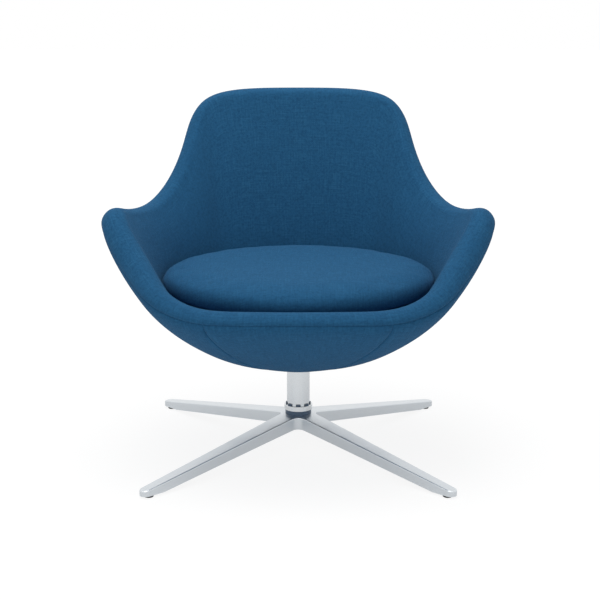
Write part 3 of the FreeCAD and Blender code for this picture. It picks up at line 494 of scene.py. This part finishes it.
def moulded(name, colour_value, roughness, grain, relief):
    """Moulded or coated face: fine even grain from the tool or the powder, and slightly uneven gloss."""
    material, tree, shader = start_material(name)
    if tree is None:
        return material
    place = add_node(tree, "ShaderNodeTexCoord").outputs["Object"]
    pores = add_node(tree, "ShaderNodeTexNoise", {"Vector": place, "Scale": 1 / grain, "Detail": 2.0})
    tone = add_node(
        tree, "ShaderNodeMapRange",
        {"Value": pores.outputs[0], "To Min": roughness * 0.85, "To Max": roughness * 1.15})
    bump = add_node(
        tree, "ShaderNodeBump", {"Height": pores.outputs[0], "Strength": 0.3, "Distance": relief})
    tree.links.new(tone.outputs[0], shader.inputs["Roughness"])
    tree.links.new(bump.outputs[0], shader.inputs["Normal"])
    shader.inputs["Base Color"].default_value = colour_value
    shader.inputs["IOR"].default_value = 1.5
    return material


def birch_plywood():
    """Birch plywood: pale and darker plies 1.5 mm thick at the edge, long soft grain on the face."""
    material, tree, shader = start_material("birch_plywood_raw")
    if tree is None:
        return material
    place = add_node(tree, "ShaderNodeTexCoord").outputs["Object"]
    ply_pair = 3 * MM
    grain_width = 4 * MM
    grain_stretch = 0.08
    plies = add_node(
        tree, "ShaderNodeTexWave", {"Vector": place, "Scale": wave_scale(ply_pair)}, bands_direction="Z")
    stretched = add_node(
        tree, "ShaderNodeMapping", {"Vector": place, "Scale": (1.0, grain_stretch, 1.0)})
    grain = add_node(
        tree, "ShaderNodeTexNoise",
        {"Vector": stretched.outputs[0], "Scale": 1 / grain_width, "Detail": 5.0})
    share = add_node(
        tree, "ShaderNodeMath", {0: plies.outputs[1], 1: 0.35, 2: grain.outputs[0]},
        operation="MULTIPLY_ADD")
    tone = add_node(
        tree, "ShaderNodeMix", {0: share.outputs[0], 6: linear("e2c79b"), 7: linear("b08a58")},
        data_type="RGBA")
    bump = add_node(
        tree, "ShaderNodeBump", {"Height": grain.outputs[0], "Strength": 0.2, "Distance": 0.2 * MM})
    tree.links.new(tone.outputs[2], shader.inputs["Base Color"])
    tree.links.new(bump.outputs[0], shader.inputs["Normal"])
    shader.inputs["Roughness"].default_value = 0.65
    return material


def hook_tape():
    """Woven nylon hook-and-loop tape: black, matt, with close rows of tiny loops 1.2 mm apart, with
    painted light on the loop tops and painted shade in the gaps.
    """
    material, tree, shader = start_material("hook_and_loop_tape_nylon")
    if tree is None:
        return material
    place = add_node(tree, "ShaderNodeTexCoord").outputs["Object"]
    loop_spacing = 1.2 * MM
    loops = add_node(tree, "ShaderNodeTexVoronoi", {"Vector": place, "Scale": 1 / loop_spacing})
    # Loop tops are painted lighter and the gaps between loops darker: painted light and painted shade
    tone = add_node(
        tree, "ShaderNodeMix", {0: loops.outputs[0], 6: linear("2a2c30"), 7: linear("0e0f11")},
        data_type="RGBA")
    bump = add_node(
        tree, "ShaderNodeBump", {"Height": loops.outputs[0], "Strength": 0.7, "Distance": 0.6 * MM},
        invert=True)
    tree.links.new(tone.outputs[2], shader.inputs["Base Color"])
    tree.links.new(bump.outputs[0], shader.inputs["Normal"])
    shader.inputs["Roughness"].default_value = 0.8
    shader.inputs["Sheen Weight"].default_value = 0.3
    return material


def dense_to_end(start, end, count):
    """Steps from start to end that close up at the end, as the sine of a quarter turn."""
    return start + (end - start) * np.sin(np.linspace(0, math.pi / 2, count))


def dense_at_both(start, end, count):
    """Steps from start to end that close up at both ends, as the cosine of half a turn."""
    return start + (end - start) * (1 - np.cos(np.linspace(0, math.pi, count))) / 2


class CHAIR_OT_outer_fabric(bpy.types.Operator):
    """Outer fabric of the shell: the side and back cover and the front panel under the lip"""

    bl_idname = "chair.outer_fabric"
    bl_label = "Outer Fabric"

    def execute(self, context):
        sizes = context.scene.chair_sizes
        seam = seam_column()
        turns = len(shell_poles())
        rows = dense_to_end(0.0, SEAM_ROW, OUTER_ROWS)
        spans = {
            "outer_fabric": (
                dense_at_both(seam, turns - seam, OUTER_COLUMNS), ("outer_cover", "outer_pad")),
            "front_fabric": (dense_at_both(-seam, seam, FRONT_COLUMNS), ("front_panel",)),
        }
        for name, (columns, nodes) in spans.items():
            mesh = grid_mesh(name, seamed_points(columns, rows, sizes))
            piece = new_piece(name, mesh, "seat", "blue_wool", woven_wool(), *nodes)
            thicken(piece, sizes.fabric_thickness)
        return {"FINISHED"}


class CHAIR_OT_inner_fabric(bpy.types.Operator):
    """Inner fabric of the shell: over the rim's roll, down the inside and across the seat deck"""

    bl_idname = "chair.inner_fabric"
    bl_label = "Inner Fabric"

    def execute(self, context):
        sizes = context.scene.chair_sizes
        turns = len(shell_poles())
        columns = np.linspace(0, turns, INNER_COLUMNS_PER_STATION * turns, endpoint=False)
        rows = DECK_ROW - dense_to_end(0.0, DECK_ROW - SEAM_ROW, INNER_ROWS)[::-1]
        points = seamed_points(columns, rows, sizes)
        centre = np.array([0.0, DECK_CENTRE * MM, DECK_HEIGHT * MM])
        inward = np.array(DECK_RINGS)[None, :, None]
        deck = points[:, -1:] * (1 - inward) + centre * inward
        points = np.concatenate([points, deck], axis=1)
        mesh = grid_mesh("inner_fabric", points, closed=True, centre=centre)
        piece = new_piece(
            "inner_fabric", mesh, "seat", "blue_wool", woven_wool(), "inner_cover", "inner_foam")
        thicken(piece, sizes.fabric_thickness)
        return {"FINISHED"}


def cushion_outline(turn, inset):
    """Four-arc oval by its normal's angle: arc centre plus (arc radius less inset) times the normal."""
    middle = (CUSHION_REAR - CUSHION_FRONT) / 2
    half_depth = (CUSHION_REAR + CUSHION_FRONT) / 2
    side_centre = CUSHION_HALF_WIDTH - CUSHION_SIDE_RADIUS
    rest = half_depth - CUSHION_SIDE_RADIUS
    end_centre = (side_centre ** 2 - rest ** 2) / (2 * rest)
    limit = math.cos(math.atan2(end_centre, side_centre))
    normal_x = np.cos(turn)
    normal_y = np.sin(turn)
    at_side = np.abs(normal_x) >= limit
    radius = np.where(at_side, CUSHION_SIDE_RADIUS, half_depth + end_centre) - inset
    centre_x = np.where(at_side, side_centre * np.sign(normal_x), 0.0)
    centre_y = np.where(at_side, 0.0, -end_centre * np.sign(normal_y))
    return centre_x + radius * normal_x, middle + centre_y + radius * normal_y


def cushion_points(shrink):
    """Crowned oval: an outline at each level, from the base over the side to the crown."""
    low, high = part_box("cushion_cover")
    turn = np.linspace(0, 2 * math.pi, CUSHION_COLUMNS, endpoint=False)
    inset = np.array([level[1] for level in CUSHION_LEVELS]) + shrink / MM
    share = np.array([level[0] for level in CUSHION_LEVELS])
    inset = np.concatenate([CUSHION_BASE_INSETS, inset])
    share = np.concatenate([np.zeros(len(CUSHION_BASE_INSETS)), share])
    bottom = low[2]
    top = high[2] - shrink
    x, y = cushion_outline(turn[:, None], inset[None, :])
    z = np.broadcast_to(bottom + (top - bottom) * share, x.shape)
    return np.stack([x * MM, y * MM, z], axis=-1)


def closed_cushion(name, shrink):
    """Mesh of the crowned oval, closed by a fan at its base and its crown."""
    points = cushion_points(shrink)
    columns, rows = points.shape[:2]
    ring = np.arange(columns)
    after = (ring + 1) % columns
    j = np.arange(rows - 1)
    here = ring[:, None] * rows + j
    there = after[:, None] * rows + j
    quads = np.stack([here, there, there + 1, here + 1], axis=-1).reshape(-1, 4)
    vertices = points.reshape(-1, 3)
    centres = np.stack([points[:, 0].mean(axis=0), points[:, -1].mean(axis=0)])
    base_hub = np.full(columns, len(vertices))
    crown_hub = base_hub + 1
    base = np.stack([after * rows, ring * rows, base_hub], axis=1)
    crown = np.stack([ring * rows + rows - 1, after * rows + rows - 1, crown_hub], axis=1)
    faces = quads.tolist() + base.tolist() + crown.tolist()
    mesh = bpy.data.meshes.new(name)
    mesh.from_pydata(np.vstack([vertices, centres]).tolist(), [], faces)
    mesh.update()
    return mesh


def coordinates(mesh):
    """Places of a mesh's points, one row each."""
    places = np.empty(len(mesh.vertices) * 3, dtype=np.float32)
    mesh.vertices.foreach_get("co", places)
    return places.reshape(-1, 3).astype(float)


def evaluated_copy(piece):
    """New mesh of a piece with its modifiers worked out."""
    graph = bpy.context.evaluated_depsgraph_get()
    graph.update()
    return bpy.data.meshes.new_from_object(piece.evaluated_get(graph), depsgraph=graph).copy()


def smoothed(places, edges, passes):
    """Points moved half way to the mean of their neighbours, pass by pass."""
    count = np.bincount(edges.reshape(-1), minlength=len(places))[:, None]
    for _ in range(passes):
        total = np.zeros_like(places)
        np.add.at(total, edges[:, 0], places[edges[:, 1]])
        np.add.at(total, edges[:, 1], places[edges[:, 0]])
        places = places + 0.5 * (total / count - places)
    return places


def even_cloth(trial, sizes):
    """Gives a trial piece a mesh of even cells, smoothed, and returns its places and edges."""
    cells = trial.modifiers.new("cells", "REMESH")
    cells.mode = "VOXEL"
    cells.voxel_size = sizes.cushion_voxel
    even = evaluated_copy(trial)
    trial.modifiers.clear()
    trial.data = even
    edges = np.empty(len(even.edges) * 2, dtype=np.int32)
    even.edges.foreach_get("vertices", edges)
    edges = edges.reshape(-1, 2)
    start = smoothed(coordinates(even), edges, FILL_SMOOTHING)
    even.vertices.foreach_set("co", start.astype(np.float32).reshape(-1))
    return start, edges


def blown_out(trial, start):
    """Places of a trial piece after its cloth is blown out by pressure, with its base held."""
    scene = bpy.context.scene
    held = trial.vertex_groups.new(name="base")
    limit = start[:, 2].min() + HELD_HEIGHT * MM
    held.add(np.flatnonzero(start[:, 2] < limit).tolist(), 1.0, "REPLACE")
    cloth = trial.modifiers.new("filling", "CLOTH")
    cloth.settings.quality = FILL_QUALITY
    cloth.settings.vertex_group_mass = "base"
    cloth.settings.use_pressure = True
    cloth.settings.uniform_pressure_force = FILL_PRESSURE
    cloth.settings.effector_weights.gravity = 0.0
    for step in range(1, FILL_FRAMES + 1):
        scene.frame_set(step)
    moved = coordinates(evaluated_copy(trial))
    scene.frame_set(1)
    return moved


def filled_cushion(mesh, sizes):
    """Cushion blown out by its filling, each move capped, then brought to the CAD part's box."""
    trial = bpy.data.objects.new("cushion_trial", mesh)
    bpy.context.scene.collection.objects.link(trial)
    start, edges = even_cloth(trial, sizes)
    moved = blown_out(trial, start)
    shift = moved - start
    reach = np.linalg.norm(shift, axis=1, keepdims=True)
    shift *= np.minimum(1.0, sizes.cushion_cap / np.maximum(reach, 1e-9))
    places = smoothed(start + shift, edges, FILL_SMOOTHING)
    low, high = (np.array(corner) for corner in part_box("cushion_cover"))
    lowest = places.min(axis=0)
    places = low + (places - lowest) * (high - low) / (places.max(axis=0) - lowest)
    result = trial.data.copy()
    result.vertices.foreach_set("co", places.astype(np.float32).reshape(-1))
    bpy.data.objects.remove(trial)
    return result, places


class CHAIR_OT_seat_cushion(bpy.types.Operator):
    """Loose seat cushion: a crowned oval of woven fabric, filled by a short cloth simulation"""

    bl_idname = "chair.seat_cushion"
    bl_label = "Seat Cushion"

    def execute(self, context):
        sizes = context.scene.chair_sizes
        mesh, places = filled_cushion(closed_cushion("seat_cushion_start", sizes.cushion_start), sizes)
        mesh.name = "seat_cushion"
        corners = np.empty(len(mesh.loops), dtype=np.int32)
        mesh.loops.foreach_get("vertex_index", corners)
        flat = np.stack([places[:, 0], places[:, 1] + places[:, 2]], axis=1)
        corners_uv = flat[corners].astype(np.float32).reshape(-1)
        mesh.uv_layers.new(name="cloth").data.foreach_set("uv", corners_uv)
        mesh.polygons.foreach_set("use_smooth", np.ones(len(mesh.polygons), dtype=bool))
        mesh.update()
        piece = new_piece(
            "seat_cushion", mesh, "cushion", "blue_wool", woven_wool(),
            "cushion_cover", "cushion_core", "cushion_base")
        fine = piece.modifiers.new("fine_cloth", "SUBSURF")
        fine.levels = 1
        fine.render_levels = 1
        return {"FINISHED"}


def smooth_by_angle():
    """Node tree that joins a part's faces and shades them smooth up to the sharp turn of an edge."""
    tree = bpy.data.node_groups.new("smooth_by_angle", "GeometryNodeTree")
    for way in ("INPUT", "OUTPUT"):
        tree.interface.new_socket("Geometry", in_out=way, socket_type="NodeSocketGeometry")
    part = add_node(tree, "NodeGroupInput").outputs[0]
    same_place = 0.002 * MM
    joined = add_node(tree, "GeometryNodeMergeByDistance", {"Geometry": part, "Distance": same_place})
    soft = add_node(
        tree, "GeometryNodeSetShadeSmooth", {"Geometry": joined.outputs[0], "Shade Smooth": True},
        domain="FACE")
    turn = add_node(tree, "GeometryNodeInputMeshEdgeAngle").outputs[0]
    sharp = add_node(
        tree, "FunctionNodeCompare", {0: turn, 1: math.radians(SHARP_TURN)}, operation="GREATER_THAN")
    crisp = add_node(
        tree, "GeometryNodeSetShadeSmooth",
        {"Geometry": soft.outputs[0], "Selection": sharp.outputs[0], "Shade Smooth": False},
        domain="EDGE")
    add_node(tree, "NodeGroupOutput", {0: crisp.outputs[0]})
    return tree


def metal_finishes(colours):
    """Materials of the metal parts, each with the names of the CAD nodes that carry it."""
    even = (1.0, 1.0, 1.0)
    upright = (1.0, 1.0, 0.1)
    turned = (0.2, 0.2, 1.0)
    # Soft broad reflections of the room and the seat on the legs
    cast = metal(
        "die_cast_aluminium_satin_polished", colours.aluminium,
        roughness=0.31, grain=40 * MM, stretch=even)
    # Even pale sheen with faint upright lines on the column
    satin = metal(
        "steel_tube_satin_chrome", colours.tube, roughness=0.22, grain=1 * MM, stretch=upright)
    # Sharp bright ring above the dark insert
    bright = metal(
        "steel_ring_bright_chrome", linear("dfe2e4"), roughness=0.1, grain=20 * MM, stretch=even)
    # Fine turned lines on the bearing
    ground = metal(
        "bearing_steel_ground", linear("9fa2a6"), roughness=0.25, grain=0.6 * MM, stretch=turned)
    # Dull pale grey of plated fixings
    zinc = metal(
        "steel_zinc_plated", linear("b9bcc0"), roughness=0.35, grain=1.5 * MM, stretch=even)
    return {
        cast: ("star_base",),
        satin: ("column_tube",),
        bright: ("base_collar",),
        ground: ("spindle", "upper_race", "lower_race", "thrust_balls"),
        zinc: (
            "foot_plug", "hub_bolt", "hub_washer", "glide_studs", "retaining_washer", "retaining_clip",
            "taper_socket", "plate_bolts", "plate_washers", "tee_nuts", "dish_screws",
        ),
    }


def other_finishes(colours):
    """Materials of the moulded, coated, wooden and taped parts, each with its CAD nodes."""
    # Nearly black, faintly grained glides and dish
    nylon = moulded(
        "nylon_moulded_black", colours.plastic, roughness=0.5, grain=0.8 * MM, relief=0.05 * MM)
    # Dark plastic insert under the bright ring, painted blue-grey: a painted reflection of the blue shell
    # above
    painted_reflection_insert = moulded(
        "nylon_insert_painted_shell_reflection", linear("4a6078"), roughness=0.4, grain=0.8 * MM, relief=0.03 * MM)
    # Creamy white of the cage and the bushes
    acetal = moulded(
        "acetal_moulded_white", linear("e4e2da"), roughness=0.4, grain=1.0 * MM, relief=0.02 * MM)
    # Slightly pebbled black of the plate
    coated = moulded(
        "steel_powder_coated", linear("1f2022"), roughness=0.55, grain=1.2 * MM, relief=0.06 * MM)
    # Dark matt bowl
    bowl = moulded(
        "glass_filled_nylon_shell", linear("2b2c2e"), roughness=0.6, grain=1.0 * MM, relief=0.08 * MM)
    return {
        nylon: (
            "cover_dish", "glide_front_left", "glide_front_right", "glide_rear_left", "glide_rear_right",
        ),
        painted_reflection_insert: ("collar_insert",),
        acetal: ("ball_cage", "lower_bush", "upper_bush"),
        coated: ("seat_plate",),
        bowl: ("rigid_shell",),
        birch_plywood(): ("mount_board",),
        hook_tape(): ("deck_strips", "cushion_strips"),
    }


class CHAIR_OT_finishes(bpy.types.Operator):
    """Finishes of the hard parts: base, column, glides, bearing, fixings, plate, board and shell"""

    bl_idname = "chair.finishes"
    bl_label = "Finishes"

    def execute(self, context):
        colours = context.scene.chair_colours
        groups = {**metal_finishes(colours), **other_finishes(colours)}
        shading = smooth_by_angle()
        for material, names in groups.items():
            for name in names:
                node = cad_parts[name]
                node.modifiers.new("smooth_by_angle", "NODES").node_group = shading
                node.modifiers.new("face_weight", "WEIGHTED_NORMAL").keep_sharp = True
                for index in range(len(node.material_slots)):
                    node.material_slots[index].material = material
        return {"FINISHED"}


def studio_floor():
    """Floor of matt white paper: nearly white to the camera, with a faint shadow near the chair."""
    material = bpy.data.materials.new("paper_sweep_white")
    material.use_nodes = True
    tree = material.node_tree
    tree.nodes.clear()
    place = add_node(tree, "ShaderNodeTexCoord").outputs["Object"]
    away = add_node(tree, "ShaderNodeVectorMath", {0: place}, operation="LENGTH").outputs["Value"]
    share = add_node(
        tree, "ShaderNodeMapRange",
        {"Value": away, "From Min": SHADOW_NEAR, "From Max": SHADOW_FAR, "To Min": NEAR_WHITE})
    paths = add_node(tree, "ShaderNodeLightPath").outputs
    unseen = add_node(
        tree, "ShaderNodeMapRange",
        {"Value": paths["Is Glossy Ray"], "To Min": FLOOR_AS_LIGHT, "To Max": FLOOR_IN_GLOSS})
    seen = add_node(
        tree, "ShaderNodeMapRange",
        {"Value": paths["Is Camera Ray"], "To Min": unseen.outputs[0], "To Max": share.outputs[0]})
    paper = add_node(tree, "ShaderNodeBsdfDiffuse", {"Color": linear("f0f0f0")})
    white = add_node(
        tree, "ShaderNodeEmission", {"Color": linear("ffffff"), "Strength": FLOOR_BRIGHTNESS})
    mixed = add_node(
        tree, "ShaderNodeMixShader", {0: seen.outputs[0], 1: paper.outputs[0], 2: white.outputs[0]})
    add_node(tree, "ShaderNodeOutputMaterial", {"Surface": mixed.outputs[0]})
    return material


def studio_world():
    """Even white surroundings: full white to the camera and in gloss, softer as light on the chair."""
    world = bpy.data.worlds.new("studio")
    world.use_nodes = True
    tree = world.node_tree
    tree.nodes.clear()
    paths = add_node(tree, "ShaderNodeLightPath").outputs
    seen = add_node(
        tree, "ShaderNodeMath", {0: paths["Is Camera Ray"], 1: paths["Is Glossy Ray"]},
        operation="MAXIMUM")
    strength = add_node(
        tree, "ShaderNodeMapRange", {"Value": seen.outputs[0], "To Min": ROOM_AS_LIGHT, "To Max": 1.0})
    white = add_node(
        tree, "ShaderNodeBackground", {"Color": linear("ffffff"), "Strength": strength.outputs[0]})
    add_node(tree, "ShaderNodeOutputWorld", {"Surface": white.outputs[0]})
    bpy.context.scene.world = world


def softbox(name, place, aim, size, power):
    """Square area lamp at a place, turned towards a point."""
    lamp = bpy.data.lights.new(name, "AREA")
    lamp.size = size
    lamp.energy = power
    holder = bpy.data.objects.new(name, lamp)
    bpy.context.scene.collection.objects.link(holder)
    offset = np.array(aim) - np.array(place)
    flat = math.hypot(offset[0], offset[1])
    holder.location = place
    holder.rotation_euler = (math.atan2(flat, -offset[2]), 0.0, math.atan2(-offset[0], offset[1]))


class CHAIR_OT_studio(bpy.types.Operator):
    """Studio: white floor, even surroundings, soft lamps and the camera in front of the chair"""

    bl_idname = "chair.studio"
    bl_label = "Studio"

    def execute(self, context):
        scene = context.scene
        mesh = bpy.data.meshes.new("studio_floor")
        far = FLOOR_HALF_WIDTH
        corners = [(-far, -far, 0), (far, -far, 0), (far, far, 0), (-far, far, 0)]
        mesh.from_pydata(corners, [], [(0, 1, 2, 3)])
        mesh.materials.append(studio_floor())
        floor = bpy.data.objects.new("studio_floor", mesh)
        scene.collection.objects.link(floor)
        studio_world()
        softbox("top_lamp", *TOP_LAMP)
        softbox("front_lamp", *FRONT_LAMP)
        lens = bpy.data.cameras.new("photo_camera")
        lens.sensor_fit = "HORIZONTAL"
        lens.sensor_width = CAMERA_SENSOR
        lens.lens = CAMERA_LENS
        lens.clip_end = CAMERA_REACH
        camera = bpy.data.objects.new("photo_camera", lens)
        camera.location = CAMERA_PLACE
        camera.rotation_euler = (math.radians(90 - CAMERA_TILT), 0.0, 0.0)
        scene.collection.objects.link(camera)
        scene.camera = camera
        scene.view_settings.view_transform = "Standard"
        return {"FINISHED"}


OPERATORS = (
    CHAIR_OT_outer_fabric,
    CHAIR_OT_inner_fabric,
    CHAIR_OT_seat_cushion,
    CHAIR_OT_finishes,
    CHAIR_OT_studio,
)


class CHAIR_PT_panel(bpy.types.Panel):
    """Sizes, colours and pieces of the chair"""

    bl_idname = "CHAIR_PT_panel"
    bl_label = "Swivel Lounge Chair"
    bl_space_type = "VIEW_3D"
    bl_region_type = "UI"
    bl_category = "Chair"

    def draw(self, context):
        for group in (context.scene.chair_sizes, context.scene.chair_colours):
            for name in group.__annotations__:
                self.layout.prop(group, name)
        for operator in OPERATORS:
            self.layout.operator(operator.bl_idname)


CLASSES = (ChairSizes, ChairColours) + OPERATORS + (CHAIR_PT_panel,)


def register():
    """Adds the classes and the chair's settings."""
    for item in CLASSES:
        bpy.utils.register_class(item)
    bpy.types.Scene.chair_sizes = bpy.props.PointerProperty(type=ChairSizes)
    bpy.types.Scene.chair_colours = bpy.props.PointerProperty(type=ChairColours)


def unregister():
    """Takes the settings and the classes away."""
    del bpy.types.Scene.chair_sizes
    del bpy.types.Scene.chair_colours
    for item in reversed(CLASSES):
        bpy.utils.unregister_class(item)


def main():
    """Builds the chair and its studio."""
    register()
    bpy.ops.chair.outer_fabric()
    bpy.ops.chair.inner_fabric()
    bpy.ops.chair.seat_cushion()
    bpy.ops.chair.finishes()
    bpy.ops.chair.studio()


if __name__ == "__main__":
    main()
